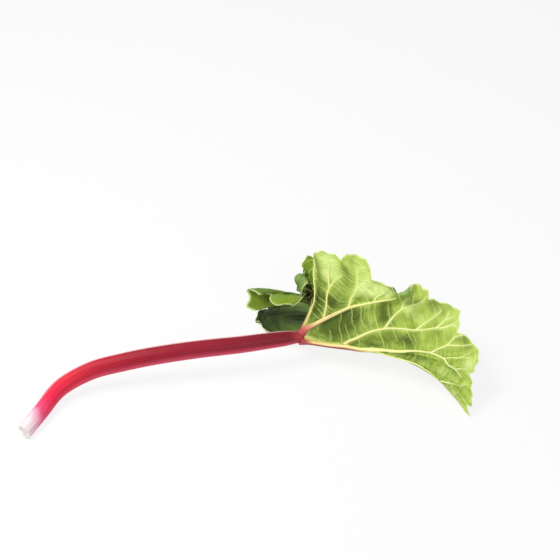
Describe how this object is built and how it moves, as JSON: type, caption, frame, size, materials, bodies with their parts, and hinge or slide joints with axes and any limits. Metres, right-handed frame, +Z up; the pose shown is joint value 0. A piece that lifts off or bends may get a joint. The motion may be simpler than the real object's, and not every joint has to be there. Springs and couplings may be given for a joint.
{
  "type": "rhubarb stalk",
  "caption": "Cut rhubarb stalk lying on its side: a long, bent, D-section stalk and its folded, ruffled leaf blade with branching ribs.",
  "frame": {"origin": "bottom centre of the bounding box, on the surface that the stalk and leaf lie on", "axes": "+X from the cut base towards the leaf tip, +Y to the back, away from the leaf's visible underside, +Z up"},
  "size_m": [0.5944, 0.2816, 0.1057],
  "materials": {
    "stalk_skin": "smooth, faintly ridged skin with a soft sheen, crimson fading to cream at the base",
    "leaf": "satin, pale yellow-green below and dark green above"
  },
  "bodies": {
    "root": {"stalk": "stalk_skin", "leaf_blade": "leaf"}
  },
  "joints": []
}
